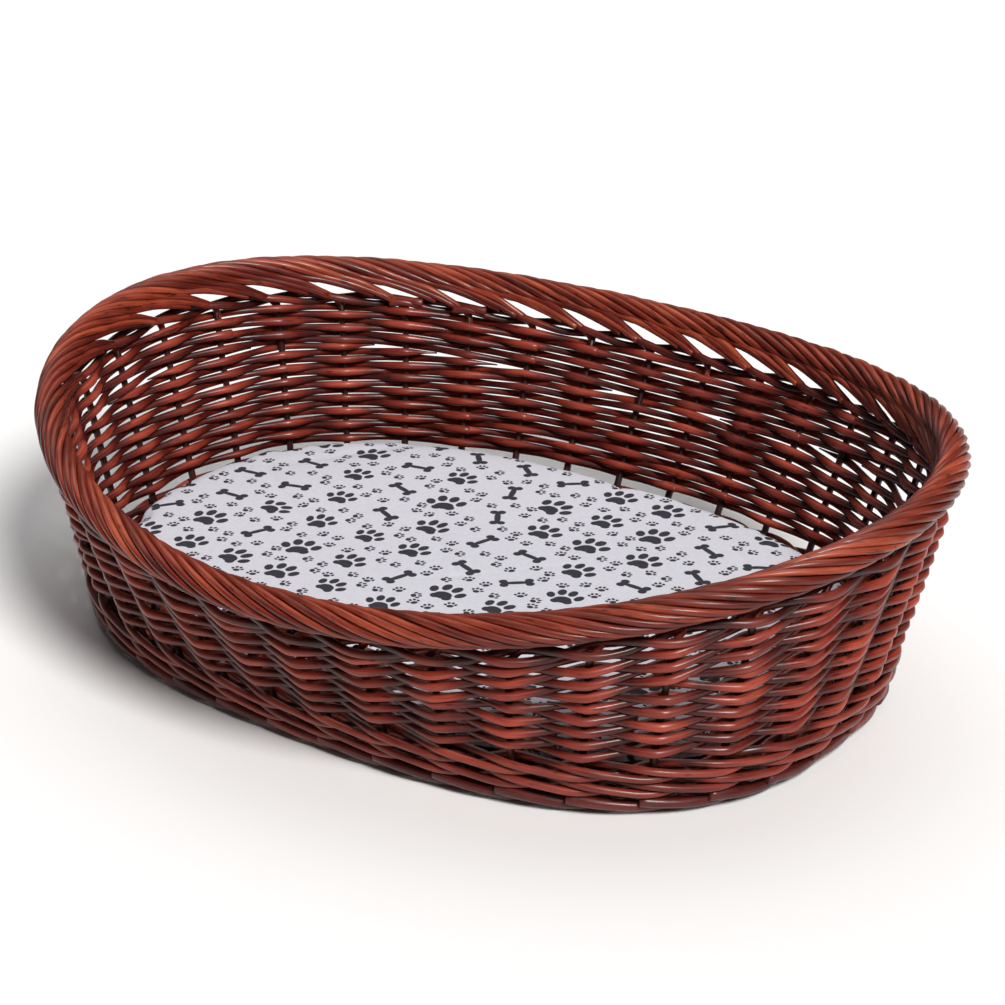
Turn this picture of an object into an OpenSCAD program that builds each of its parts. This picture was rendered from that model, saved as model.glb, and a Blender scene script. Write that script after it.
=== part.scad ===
// Oval wicker pet bed basket with a loose flat cushion.
// The rim oval is centred on the origin, X runs along the length, the low side faces -Y,
// Z is up and z = 0 is the floor.

/* [Rim] */
// Half length of the rim, to the middle of its rolled border (mm)
rim_a = 385; // [380:1:395]
// Half width of the rim, to the middle of its rolled border (mm)
rim_b = 300; // [295:1:305]
// Height of the rim's middle at the two ends (mm)
rim_end_z = 207.5; // [205:0.5:212]
// Height of the rim's middle at the back (mm)
rim_back_z = 181.5; // [178:0.5:185]
// Height of the rim's middle at the low front (mm)
rim_front_z = 150.5; // [149:0.5:153]

/* [Foot] */
// Half length of the bottom oval, on the line of the stakes (mm)
foot_a = 331; // [328:1:334]
// Half width of the bottom oval, on the line of the stakes (mm)
foot_b = 225; // [222:1:228]
// How far the bottom oval sits towards the front of the rim oval (mm)
foot_shift = 8.5; // [6:0.5:10]
// How square the bottom oval is, 2 being a true ellipse
foot_power = 2.65; // [2.5:0.05:2.8]

/* [Rods] */
// Diameter of the upright stakes (mm)
stake_d = 6; // [5:0.5:6]
// Side of the siding and waling rods, drawn square (mm)
weaver_w = 3.8; // [3.4:0.1:3.8]
// Diameter of the thick rods around the foot (mm)
foot_rod_d = 8; // [7.4:0.1:8]
// Side of the rods rolled into the border, drawn square (mm)
border_w = 4.2; // [3.6:0.2:4.2]
// Radius on which the border rods are rolled (mm)
border_roll = 10.9; // [10.7:0.1:11.3]

/* [Cushion] */
// Thickness of the cushion (mm)
cushion_h = 39; // [34:1:42]
// Thickness of the cushion's cotton cover (mm)
cover_t = 1.2; // [1:0.1:1.6]

/* [Hidden] */
stakes = 36;
full_rows = 12;
base_rounds = 14;
foot_z = 19;              // where the stakes stand, above the foot rods
stick_z = 16.9;           // middle of the base sticks
stick_r = 4.6;            // cross sticks
long_r = 3.2;             // long sticks and corner sticks
base_w = 3;               // side of the base weavers
base_edge = 19;           // outermost base weaver inside the stake line
weave_off = 7;            // how far a weaver passes beside the stakes
wale_rise = 3.3;          // half the height a waling rod climbs or drops
wale_z = [27.2, 38.1];    // middles of the two upsett rounds
top_wale_drop = 24.8;     // top wale below the rim's middle
siding_drop = 32.5;       // highest siding row below the rim's middle
stake_drop = 19;          // stake tops below the rim's middle
siding_z = 54.5;          // lowest siding row
row_pitch = (rim_front_z - siding_drop - siding_z) / (full_rows - 1);
low_rows = full_rows / 2; // full rows under the short rows
short_rows = 10;          // most short rows above one stake
border_lap = 3.6;         // stake spaces to one turn of the border
border_from = -140;       // border rods start low inside and end low outside
border_to = 175;
border_lag = 0.6;         // how far past its stake a border rod joins the roll, in stake spaces
cushion_z = 26;
cushion_gap = 12;         // cushion edge inside the stake line
corner_from = 0.5;        // corner sticks start half way out
willow = [0.52, 0.2, 0.12];
willow_dark = [0.4, 0.14, 0.09];
willow_red = [0.6, 0.24, 0.13];
cotton = [0.86, 0.85, 0.88];
wadding = [0.95, 0.94, 0.9];

function unit(v) = v / norm(v);
function mix(p, q, f) = p * (1 - f) + q * f;

// An oval of half sizes a and b at parameter u in degrees
function oval(a, b, power, u) =
    [a * sign(cos(u)) * pow(abs(cos(u)), 2 / power), b * sign(sin(u)) * pow(abs(sin(u)), 2 / power)];
// Table from the share of an oval's length to its parameter, and the point at that share
function oval_table(a, b, power) =
    let (p = [for (u = [0:360]) oval(a, b, power, u)],
         s = [for (u = 0, t = 0; u <= 360; u = u + 1, t = u <= 360 ? t + norm(p[u] - p[u - 1]) : t) t])
    [for (u = [0:360]) [s[u] / s[360], u]];
function share(q) = let (f = (q + 0.5) / stakes) f - floor(f);

rim_table = oval_table(rim_a, rim_b, 2);
foot_table = oval_table(foot_a, foot_b, foot_power);

// Height of the rim, level with the ends at the middle of each side's rise
function rim_z(s) = rim_end_z + s * (rim_back_z - rim_front_z) / 2
    + s * s * ((rim_back_z + rim_front_z) / 2 - rim_end_z);
// Points on the rim and on the foot; q counts stakes, so whole numbers are stakes
function rim(q) = let (p = oval(rim_a, rim_b, 2, lookup(share(q), rim_table))) [p.x, p.y, rim_z(p.y / rim_b)];
function foot(q) =
    let (p = oval(foot_a, foot_b, foot_power, lookup(share(q), foot_table))) [p.x, p.y - foot_shift, foot_z];
// Point at height z on the straight line of stake q, and the level way out there
function line(q, z) = let (a = foot(q), b = rim(q)) mix(a, b, (z - a.z) / (b.z - a.z));
function outward(q, z) = let (t = line(q + 0.05, z) - line(q - 0.05, z)) unit([t.y, -t.x, 0]);
// The way out square to the leaning stake, and the point at height z pushed that way by off
function square_out(q, z) = let (s = unit(rim(q) - foot(q)), o = outward(q, z)) unit(o - s * (o * s));
function wall(q, z, off) = line(q, z) + off * square_out(q, z);

// A rod through the points p, w across its flats, with one flat facing along out
module rod(p, out, w, closed = false, flats = 4) {
    n = len(p);
    f = flats;
    r = w / 2 / cos(180 / f);
    ring = [for (k = [0:f - 1]) r * [cos(360 * (k + 0.5) / f), sin(360 * (k + 0.5) / f)]];
    corners = [for (i = [0:n - 1])
        let (a = closed ? p[(i + n - 1) % n] : p[max(i - 1, 0)],
             b = closed ? p[(i + 1) % n] : p[min(i + 1, n - 1)],
             t = unit(b - a),
             u = unit(out[i] - t * (out[i] * t)),
             v = cross(u, t))
        for (c = ring) p[i] + u * c.x + v * c.y];
    sides = [for (i = [0:closed ? n - 1 : n - 2]) let (j = (i + 1) % n) for (k = [0:f - 1])
        let (m = (k + 1) % f) each [[f * i + k, f * i + m, f * j + m], [f * i + k, f * j + m, f * j + k]]];
    ends = closed ? [] : [[for (k = [f - 1:-1:0]) k], [for (k = [0:f - 1]) f * (n - 1) + k]];
    polyhedron(corners, concat(sides, ends));
}

// A round bar from p to q
module bar(p, q, r) {
    d = q - p;
    translate(p) rotate([0, acos(d.z / norm(d)), atan2(d.y, d.x)]) cylinder(h = norm(d), r = r, $fn = 48);
}

// A weaver on the wall; every entry of path is [q, z, off]
module wall_rod(path, w, closed) {
    rod([for (e = path) wall(e[0], e[1], e[2])], [for (e = path) square_out(e[0], e[1])], w, closed);
}

// ---- base ----
// Spoke j runs to the middle between two stakes. Spokes 5 to 13 and their partners in front are the
// ends of the cross sticks, -2 to 2 and 16 to 20 the ends of the long sticks, the rest corner sticks.
function spoke_end(j) = let (p = foot(j - 0.5)) [p.x, p.y, stick_z];
// Where the outermost weaver crosses spoke j
function spoke_rim(j) = let (e = spoke_end(j))
    e - base_edge * unit(is_cross(j) || is_long(j) ? e - spoke_start(j) : [e.x, e.y + foot_shift, 0]);
function is_cross(j) = abs(j) >= 5 && abs(j) <= 13;
function is_long(j) = abs(j) <= 2 || abs(j) >= 16;
function side_x(j) = abs(j) <= 9 ? 1 : -1;
cross_half = 25;          // half width of the bundle of long sticks
cross_end_x = spoke_end(5).x;
function long_y(j) = sign(j) * 11 * (abs(j) <= 2 ? abs(j) : 18 - abs(j)) - foot_shift;
function spoke_start(j) = is_cross(j)
    ? [spoke_end(j).x, sign(j) * cross_half - foot_shift, stick_z]
    : [side_x(j) * (cross_end_x + 13), long_y(j), stick_z];
function near_cross(j) = sign(j) * (abs(j) <= 9 ? 5 : 13);
function near_long(j) = sign(j) * (abs(j) <= 9 ? 2 : 16);
function corner_share(j) = (abs(j) == 3 || abs(j) == 15 ? 1 : 2) / 3;
function corner_start(j) =
    mix(crossing(near_long(j), corner_from), crossing(near_cross(j), corner_from), corner_share(j));
// Point on spoke j where the weaver at share f of the way out crosses it
function crossing(j, f) = is_cross(j) || is_long(j) ? mix(spoke_start(j), spoke_rim(j), f)
    : mix(corner_start(j), spoke_rim(j), (f - corner_from) / (1 - corner_from));

module base_long_sticks() color(willow_dark) for (k = [-2:2]) {
    far = k == 0 ? 18 : sign(k) * (18 - abs(k));
    rod([spoke_end(far), spoke_start(far), spoke_start(k), spoke_end(k)], [for (e = [1:4]) [0, 0, 1]],
        2 * long_r * cos(22.5), flats = 8);
}

module base_cross_sticks() color(willow) for (j = [5:13]) difference() {
    bar(spoke_end(-j), spoke_end(j), stick_r);
    for (k = [-2:2]) translate([spoke_end(j).x - 8, long_y(k), stick_z])
        rotate([0, 90, 0]) cylinder(h = 16, r = long_r + 0.1, $fn = 48);
}

module base_corner_sticks() color(willow_dark)
    for (s = [-1, 1]) for (j = [3, 4, 14, 15])
        rod([crossing(s * j, corner_from - 0.01), spoke_rim(s * j), spoke_end(s * j)],
            [for (e = [1:3]) [0, 0, 1]], 2 * long_r * cos(22.5), flats = 8);

module base_weave() color(willow_red) for (k = [0:base_rounds - 1]) {
    f = 0.1 + 0.9 * k / (base_rounds - 1);
    spokes = [for (j = [-17:18]) if (f > corner_from || is_cross(j) || is_long(j)) j];
    path = [for (n = [0:len(spokes) - 1]) let (j = spokes[n])
        crossing(j, f) + [0, 0, ((n + k) % 2 * 2 - 1) * ((is_cross(j) ? stick_r : long_r) + 2.8)]];
    rod(path, [for (p = path) unit([p.x, p.y, 0])], base_w, true);
}

// ---- foot and upsett ----
// Each foot rod starts outside the stakes and runs down and in under the next one
module foot_border() color(willow_red) for (i = [0:stakes - 1]) {
    h = foot_rod_d / 2;
    rod([for (e = [[-0.05, 1.6 * h, 3.9], [0.85, -0.4 * h, 1.6], [1.2, -1.7 * h, 0], [1.6, -3 * h, 0]])
            let (q = i + e[0], p = foot(q)) [p.x, p.y, h + e[2]] + e[1] * outward(q, foot_z)],
        [for (e = [1:4]) [0, 0, 1]], foot_rod_d, flats = 6);
}

// Three rods, each in front of two stakes and behind one
module three_rod_wale(z) for (c = [0:2]) wall_rod([for (i = [0:stakes - 1])
    each let (m = (i + c) % 3)
        m == 0 ? [[i, z + wale_rise, weave_off], [i + 0.5, z, weave_off + 1]]
        : m == 1 ? [[i, z - wale_rise, weave_off], [i + 0.5, z - wale_rise, 0]]
        : [[i, z, -weave_off], [i + 0.5, z + wale_rise, 0]]], weaver_w, true);

module upsett_wale_lower() color(willow_red) three_rod_wale(wale_z[0]);
module upsett_wale_upper() color(willow) three_rod_wale(wale_z[1]);

module side_stakes() color(willow_dark) for (i = [0:stakes - 1]) {
    top = rim(i);
    a = foot(i);
    bar(a, top - unit(top - a) * stake_drop, stake_d / 2);
}

// ---- siding ----
function top_row_z(i) = rim(i).z - siding_drop;
function spare(i) = top_row_z(i) - siding_z - (full_rows - 1) * row_pitch;
function shorts_at(i) = min(short_rows, floor(spare(i) / row_pitch + 0.35));
function side_of(i, k) = ((i + k) % 2 == 0 ? 1 : -1) * weave_off;
// The low full rows stay level, the high ones follow the rim
function full_row_z(k, i) = k <= low_rows ? siding_z + (k - 1) * row_pitch : top_row_z(i) - (full_rows - k) * row_pitch;
function short_row_z(j, i) =
    full_row_z(low_rows, i) + j * (spare(i) + row_pitch) / (shorts_at(i) + 1);
function run_length(i, j) = shorts_at(i % stakes) >= j ? 1 + run_length(i + 1, j) : 0;

module full_row(k) color(k % 2 == 0 ? willow : willow_red)
    wall_rod([for (i = [0:stakes - 1]) [i, full_row_z(k, i), side_of(i, k)]], weaver_w, true);

// A short row fills the higher ends and back; its rod tips stop between two stakes
module short_row(j) color(j % 2 == 0 ? willow : willow_red) for (s = [0:stakes - 1])
    if (shorts_at(s) >= j && shorts_at((s + stakes - 1) % stakes) < j) {
        n = run_length(s, j);
        wall_rod(concat([[s - 0.2, short_row_z(j, s), 0.8 * side_of(s, j)]],
            [for (i = [s:s + n - 1]) [i, short_row_z(j, i % stakes), side_of(i, j)]],
            [[s + n - 0.8, short_row_z(j, (s + n - 1) % stakes), 0.8 * side_of(s + n - 1, j)]]),
            weaver_w, false);
    }

// ---- rim ----
// Two rods twined round each other between the stakes
module top_wale() color(willow_red) for (c = [0:1]) wall_rod([for (i = [0:stakes - 1])
    each let (z = rim(i).z - top_wale_drop, zm = rim(i + 0.5).z - top_wale_drop, s = side_of(i, c))
        [[i, z, s], [i + 0.5, zm - sign(s) * wale_rise, 0]]], weaver_w, true);

// Every stake has three rods rolled into the border; the first starts low inside the stake
module border_rods(c) for (i = [0:stakes - 1]) {
    q0 = i + border_lag + c / 3;
    turn = [for (a = [border_from:(border_to - border_from) / 6:border_to + 0.01])
        let (q = q0 + (a - border_from) / 360 * border_lap, o = outward(q, rim(q).z), d = o * sin(a) + [0, 0, cos(a)])
        [rim(q) + border_roll * d, d]];
    tail = c > 0 ? [] : [[wall(i, rim(i).z - 18.5, -8), -square_out(i, rim(i).z)]];
    all = concat(tail, turn);
    rod([for (e = all) e[0]], [for (e = all) e[1]], border_w);
}
module border_rods_first() color(willow) border_rods(0);
module border_rods_second() color(willow_red) border_rods(1);
module border_rods_third() color(willow_dark) border_rods(2);

// ---- cushion ----
// A closed shape through level rings that follow the wall, each [height, inset]
module pad(rings) {
    n = stakes;
    m = len(rings);
    pts = [for (e = rings) for (k = [0:n - 1]) line(k, e[0]) - (cushion_gap + e[1]) * outward(k, e[0])];
    polyhedron(pts, concat([[for (k = [0:n - 1]) k]], [[for (k = [n - 1:-1:0]) (m - 1) * n + k]],
        [for (i = [0:m - 2]) for (k = [0:n - 1]) let (l = (k + 1) % n)
            each [[i * n + l, i * n + k, (i + 1) * n + k], [i * n + l, (i + 1) * n + k, (i + 1) * n + l]]]));
}
mid_z = cushion_z + cushion_h / 2;
top_z = cushion_z + cushion_h;

module cushion_cover_top() color(cotton) difference() {
    pad([[mid_z + 0.1, 0], [top_z - 7, 1], [top_z - 2, 5], [top_z, 14]]);
    pad([[mid_z - 1, cover_t], [top_z - 7, 1 + cover_t], [top_z - 2 - cover_t / 2, 5 + cover_t], [top_z - cover_t, 14]]);
}
module cushion_cover_bottom() color(cotton * 0.92) difference() {
    pad([[cushion_z, 14], [cushion_z + 2, 5], [cushion_z + 7, 1], [mid_z - 0.1, 0]]);
    pad([[cushion_z + cover_t, 14], [cushion_z + 2 + cover_t / 2, 5 + cover_t], [cushion_z + 7, 1 + cover_t],
        [mid_z + 1, cover_t]]);
}
module cushion_filling() color(wadding) {
    g = cover_t + 0.3;
    pad([[cushion_z + g, 15], [cushion_z + 3, 6 + g], [cushion_z + 7.5, 2 + g], [top_z - 7.5, 2 + g],
        [top_z - 3, 6 + g], [top_z - g, 15]]);
}

base_long_sticks();
base_cross_sticks();
base_corner_sticks();
base_weave();
foot_border();
upsett_wale_lower();
upsett_wale_upper();
side_stakes();
full_row(1);  // siding_row_01
full_row(2);  // siding_row_02
full_row(3);  // siding_row_03
full_row(4);  // siding_row_04
full_row(5);  // siding_row_05
full_row(6);  // siding_row_06
full_row(7);  // siding_row_07
full_row(8);  // siding_row_08
full_row(9);  // siding_row_09
full_row(10);  // siding_row_10
full_row(11);  // siding_row_11
full_row(12);  // siding_row_12
short_row(1);  // short_row_01
short_row(2);  // short_row_02
short_row(3);  // short_row_03
short_row(4);  // short_row_04
short_row(5);  // short_row_05
short_row(6);  // short_row_06
short_row(7);  // short_row_07
short_row(8);  // short_row_08
short_row(9);  // short_row_09
short_row(10);  // short_row_10
top_wale();
border_rods_first();
border_rods_second();
border_rods_third();
cushion_cover_bottom();
cushion_filling();
cushion_cover_top();
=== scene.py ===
"""Oval wicker pet bed basket: willow rods, rolled border and printed cushion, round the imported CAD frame."""
import math

import bpy
import numpy as np
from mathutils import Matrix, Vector


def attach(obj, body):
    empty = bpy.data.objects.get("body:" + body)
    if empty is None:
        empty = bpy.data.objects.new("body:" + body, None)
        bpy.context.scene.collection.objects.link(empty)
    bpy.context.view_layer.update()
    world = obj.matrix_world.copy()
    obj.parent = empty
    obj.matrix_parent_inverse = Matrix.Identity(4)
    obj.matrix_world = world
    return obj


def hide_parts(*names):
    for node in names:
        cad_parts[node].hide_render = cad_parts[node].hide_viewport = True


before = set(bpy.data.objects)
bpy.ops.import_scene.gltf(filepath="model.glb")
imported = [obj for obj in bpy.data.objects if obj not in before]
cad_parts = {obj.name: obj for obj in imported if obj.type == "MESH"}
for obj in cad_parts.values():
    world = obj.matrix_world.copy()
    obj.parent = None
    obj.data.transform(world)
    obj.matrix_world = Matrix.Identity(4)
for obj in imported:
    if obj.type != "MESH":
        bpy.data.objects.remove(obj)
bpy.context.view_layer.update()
rng = np.random.default_rng(20)

# ---------------------------------------------------------------- camera
AIM = Vector((-0.005, 0.027, 0.107))
AZIMUTH, ELEVATION, DISTANCE = math.radians(35.879), math.radians(24.006), 2.381

camera = bpy.data.objects.new("camera", bpy.data.cameras.new("camera"))
camera.data.lens = 104.06
camera.data.sensor_width = 36.0
camera.location = AIM + DISTANCE * Vector((
    math.sin(AZIMUTH) * math.cos(ELEVATION), -math.cos(AZIMUTH) * math.cos(ELEVATION), math.sin(ELEVATION)))
camera.rotation_euler = (AIM - camera.location).to_track_quat("-Z", "Y").to_euler()
bpy.context.scene.collection.objects.link(camera)
bpy.context.scene.camera = camera

# ---------------------------------------------------------------- the basket's lines, as in the CAD source
STAKES = 36
RIM_A, RIM_B = 0.385, 0.300
RIM_END_Z, RIM_BACK_Z, RIM_FRONT_Z = 0.2075, 0.1815, 0.1505
FOOT_A, FOOT_B, FOOT_POWER, FOOT_SHIFT, FOOT_Z = 0.331, 0.225, 2.65, 0.0085, 0.019
STAKE_R = 0.0030
FULL_ROWS, LOW_ROWS, SHORT_ROWS = 12, 6, 10
SIDING_Z, SIDING_DROP, TOP_WALE_DROP = 0.0545, 0.0325, 0.0240
PITCH = (RIM_FRONT_Z - SIDING_DROP - SIDING_Z) / (FULL_ROWS - 1)
LAP = 3.6                        # stake spaces to one turn of the border
UP = np.array([0.0, 0.0, 1.0])


def oval(a, b, power, u):
    """An oval of half sizes a and b at parameter u; power 2 is an ellipse."""
    c, s = np.cos(u), np.sin(u)
    x = a * np.sign(c) * np.abs(c) ** (2 / power)
    y = b * np.sign(s) * np.abs(s) ** (2 / power)
    return np.stack([x, y], -1)


def arc_table(a, b, power):
    """The share of the oval's length at each parameter, and the parameters."""
    u = np.linspace(0, 2 * math.pi, 361)
    steps = np.linalg.norm(np.diff(oval(a, b, power, u), axis=0), axis=1)
    s = np.concatenate([[0], np.cumsum(steps)])
    return s / s[-1], u


RIM_TABLE, FOOT_TABLE = arc_table(RIM_A, RIM_B, 2), arc_table(FOOT_A, FOOT_B, FOOT_POWER)


def share(q):
    """Stake numbers as shares of the way round; whole numbers are stakes."""
    return ((np.asarray(q, float) + 0.5) / STAKES) % 1.0


def rim(q):
    p = oval(RIM_A, RIM_B, 2, np.interp(share(q), *RIM_TABLE))
    s = p[..., 1] / RIM_B
    side_z = (RIM_BACK_Z + RIM_FRONT_Z) / 2
    z = RIM_END_Z + s * (RIM_BACK_Z - RIM_FRONT_Z) / 2 + s * s * (side_z - RIM_END_Z)
    return np.concatenate([p, z[..., None]], -1)


def foot(q):
    p = oval(FOOT_A, FOOT_B, FOOT_POWER, np.interp(share(q), *FOOT_TABLE))
    return np.stack([p[..., 0], p[..., 1] - FOOT_SHIFT, np.full(p.shape[:-1], FOOT_Z)], -1)


def line(q, z):
    """Points at height z on the straight lines of the stakes q."""
    a, b = foot(q), rim(q)
    f = ((z - a[..., 2]) / (b[..., 2] - a[..., 2]))[..., None]
    return a * (1 - f) + b * f


def outward(q, z):
    """The level way out of the wall."""
    t = line(q + 0.05, z) - line(q - 0.05, z)
    n = np.stack([t[..., 1], -t[..., 0], np.zeros(t.shape[:-1])], -1)
    return n / np.linalg.norm(n, axis=-1, keepdims=True)


def square_out(q, z):
    """The way out square to the leaning stakes."""
    q, z = np.broadcast_arrays(np.asarray(q, float), np.asarray(z, float))
    s, o = rim(q) - foot(q), outward(q, z)
    s = s / np.linalg.norm(s, axis=-1, keepdims=True)
    n = o - s * np.sum(o * s, axis=-1, keepdims=True)
    return n / np.linalg.norm(n, axis=-1, keepdims=True)


def wall(q, z, off):
    """Points at height z on the lines of the stakes q, pushed out square to the stakes by off."""
    q, z, off = np.broadcast_arrays(*(np.asarray(v, float) for v in (q, z, off)))
    return line(q, z) + off[..., None] * square_out(q, z)


def spline(points, steps):
    """A smooth curve through points, with so many samples to a span."""
    p = np.asarray(points, float)
    p = np.vstack([2 * p[0] - p[1], p, 2 * p[-1] - p[-2]])
    t = (np.arange(steps) / steps)[None, :, None]
    a, b, c, d = (v[:, None] for v in (p[:-3], p[1:-2], p[2:-1], p[3:]))
    bend = (2 * a - 5 * b + 4 * c - d) * t ** 2 + (3 * b - a - 3 * c + d) * t ** 3
    curve = 0.5 * (2 * b + (c - a) * t + bend)
    return np.vstack([curve.reshape(-1, p.shape[1]), p[-2]])


def smooth(x):
    """Rises gently from 0 to 1 as x does."""
    x = np.clip(x, 0, 1)
    return x * x * (3 - 2 * x)


WAVES = (0.62, 1.06, 1.94)


def wander(q, size):
    """A slow random wave along q."""
    return size * sum(np.sin(w * np.asarray(q) + rng.uniform(0, 6.28)) for w in WAVES) / len(WAVES)


# ---------------------------------------------------------------- rods
END_BEVEL, END_WIDTH, END_WEAR = 0.22, 0.8, 0.9   # a cut end, against the rod's radius


class Bundle:
    """Round rods that become one piece.

    tone is each rod's shade, and grain runs along it. wear_and_painted_light is above zero on its crests,
    lighter for wear and partly as a painted highlight, and below zero where rods cross, darker as painted
    shade.
    """

    def __init__(self):
        self.points, self.faces, self.tone, self.grain, self.wear_and_painted_light = [], [], [], [], []
        self.count = 0

    def rod(self, path, radius, up, closed=False, sides=10, tone=None, wear_and_painted_light=0.0):
        """Adds one rod along path; up is the way its first side faces."""
        path = np.asarray(path, float)
        n = len(path)
        radius = np.broadcast_to(np.asarray(radius, float), (n,))
        up = np.broadcast_to(np.asarray(up, float), (n, 3))
        wear_and_painted_light = np.broadcast_to(np.asarray(wear_and_painted_light, float), (n,))
        t = np.roll(path, -1, 0) - np.roll(path, 1, 0) if closed else np.gradient(path, axis=0)
        t /= np.linalg.norm(t, axis=1, keepdims=True)
        along = np.concatenate([[0], np.cumsum(np.linalg.norm(np.diff(path, axis=0), axis=1))])
        if not closed:  # a cut end is a short bevel and a flat
            first = path[0] - t[0] * radius[0] * END_BEVEL
            last = path[-1] + t[-1] * radius[-1] * END_BEVEL
            path = np.vstack([first, path, last])
            radius = np.concatenate([[radius[0] * END_WIDTH], radius, [radius[-1] * END_WIDTH]])
            up, t = np.vstack([up[:1], up, up[-1:]]), np.vstack([t[:1], t, t[-1:]])
            along = np.concatenate([[along[0]], along, [along[-1]]])
            wear_and_painted_light = np.concatenate([[END_WEAR], wear_and_painted_light, [END_WEAR]])
            n += 2
        u = up - t * np.sum(up * t, axis=1, keepdims=True)
        u /= np.linalg.norm(u, axis=1, keepdims=True)
        v = np.cross(t, u)
        angle = np.arange(sides) * 2 * math.pi / sides
        ring = np.cos(angle)[None, :, None] * u[:, None] + np.sin(angle)[None, :, None] * v[:, None]
        knobbly = 1 + 0.035 * np.sin(2 * angle[None] + rng.uniform(0, 6.28) + along[:, None] * 40) \
            + 0.02 * np.sin(3 * angle[None] + rng.uniform(0, 6.28) - along[:, None] * 90)
        r = radius[:, None] * knobbly
        points = path[:, None] + r[..., None] * ring
        offset = rng.uniform(0, 1, 3)
        lengthwise = np.broadcast_to(along[:, None], r.shape)
        grain = np.stack([lengthwise, r * np.cos(angle), r * np.sin(angle)], -1) + offset
        i = np.arange(n if closed else n - 1)[:, None]
        k = np.arange(sides)[None]
        j, m = (i + 1) % n, (k + 1) % sides
        quads = np.stack([i * sides + k, i * sides + m, j * sides + m, j * sides + k], -1).reshape(-1, 4)
        start = self.count
        self.faces += (quads + start).tolist()
        if not closed:
            self.faces += [[start + s for s in range(sides - 1, -1, -1)],
                           [start + (n - 1) * sides + s for s in range(sides)]]
        self.points.append(points.reshape(-1, 3))
        self.grain.append(grain.reshape(-1, 3))
        self.tone.append(np.full(n * sides, rng.uniform(0, 1) if tone is None else tone))
        self.wear_and_painted_light.append(np.repeat(wear_and_painted_light, sides))
        self.count += n * sides

    def piece(self, node, slot):
        """Makes the rods one object that replaces the CAD node."""
        mesh = bpy.data.meshes.new("willow_" + node)
        mesh.from_pydata(np.vstack(self.points).tolist(), [], self.faces)
        for name, kind, key, values in (("tone", "FLOAT", "value", self.tone),
                                        ("wear_and_painted_light", "FLOAT", "value", self.wear_and_painted_light),
                                        ("grain", "FLOAT_VECTOR", "vector", self.grain)):
            attribute = mesh.attributes.new(name, kind, "POINT")
            attribute.data.foreach_set(key, np.concatenate(values).astype(np.float32).ravel())
        mesh.shade_smooth()
        mesh.update()
        obj = bpy.data.objects.new("willow_" + node, mesh)
        bpy.context.scene.collection.objects.link(obj)
        obj.data.materials.append(MATERIALS[slot])
        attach(obj, "basket")
        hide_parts(node)
        return obj


# ---------------------------------------------------------------- materials
class Nodes:
    """A small helper that adds shader nodes and links them."""

    def __init__(self, name):
        self.material = bpy.data.materials.new(name)
        self.material.use_nodes = True
        self.tree = self.material.node_tree
        self.shader = self.tree.nodes["Principled BSDF"]

    def add(self, kind, inputs=(), **settings):
        node = self.tree.nodes.new("ShaderNode" + kind)
        for key, value in settings.items():
            setattr(node, key, value)
        for key, value in (inputs.items() if isinstance(inputs, dict) else enumerate(inputs)):
            if isinstance(value, bpy.types.NodeSocket):
                self.tree.links.new(value, node.inputs[key])
            elif value is not None:
                node.inputs[key].default_value = value
        return node

    def math(self, operation, *values, clamp=False):
        return self.add("Math", values, operation=operation, use_clamp=clamp).outputs[0]

    def vector(self, operation, *values):
        node = self.add("VectorMath", values, operation=operation)
        return node.outputs["Value" if operation == "LENGTH" else "Vector"]

    def turned(self, vector, angle):
        inputs = {"Vector": vector, "Angle": angle}
        return self.add("VectorRotate", inputs, rotation_type="Z_AXIS").outputs[0]

    def attribute(self, name, output="Fac"):
        return self.add("Attribute", attribute_name=name).outputs[output]

    def noise(self, vector, scale, detail=2.0, rough=0.5):
        inputs = {"Vector": vector, "Scale": scale, "Detail": detail, "Roughness": rough}
        return self.add("TexNoise", inputs).outputs[0]

    def ramp(self, fac, stops):
        node = self.add("ValToRGB", [fac])
        elements = node.color_ramp.elements
        while len(elements) < len(stops):
            elements.new(0.5)
        for element, (position, color) in zip(elements, stops):
            element.position = position
            element.color = (*color, 1)
        return node.outputs[0]

    def mix(self, fac, a, b):
        node = self.add("Mix", data_type="RGBA")
        for socket, value in ((node.inputs["Factor"], fac), (node.inputs[6], a), (node.inputs[7], b)):
            if isinstance(value, bpy.types.NodeSocket):
                self.tree.links.new(value, socket)
            else:
                socket.default_value = value if isinstance(value, (int, float)) else (*value, 1)
        return node.outputs[2]

    def bump(self, height, strength, distance):
        inputs = {"Height": height, "Strength": strength, "Distance": distance}
        return self.add("Bump", inputs).outputs[0]

    def finish(self, **sockets):
        for key, value in sockets.items():
            socket = self.shader.inputs[key.replace("_", " ")]
            if isinstance(value, bpy.types.NodeSocket):
                self.tree.links.new(value, socket)
            else:
                socket.default_value = value
        return self.material


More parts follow.
